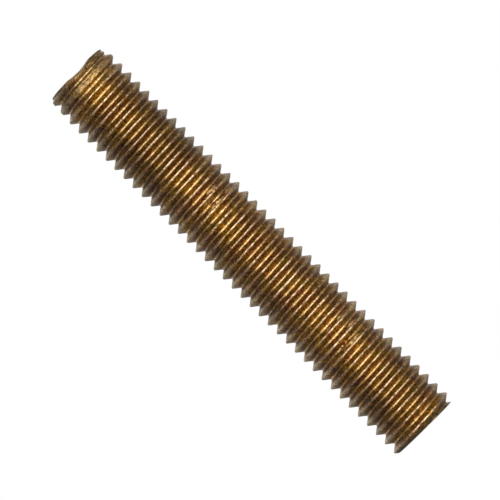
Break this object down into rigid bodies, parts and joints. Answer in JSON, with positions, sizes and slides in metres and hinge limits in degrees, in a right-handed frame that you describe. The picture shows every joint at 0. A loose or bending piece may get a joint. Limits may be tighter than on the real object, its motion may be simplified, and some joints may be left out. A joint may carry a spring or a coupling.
{
  "type": "threaded rod",
  "caption": "Short length of brass screw rod with a coarse metric thread from end to end, sawn square at one end and worn round at the other.",
  "frame": {"origin": "middle of the sawn foot, on the rod's axis", "axes": "+Z along the axis, from the sawn foot up to the worn end; +X points to the side that the worn end's bruise is on"},
  "size_m": [0.0078, 0.0078, 0.0487],
  "materials": {
    "brass": "tarnished, with the crests rubbed bright"
  },
  "bodies": {
    "root": {"threaded_rod": "brass"}
  },
  "joints": []
}
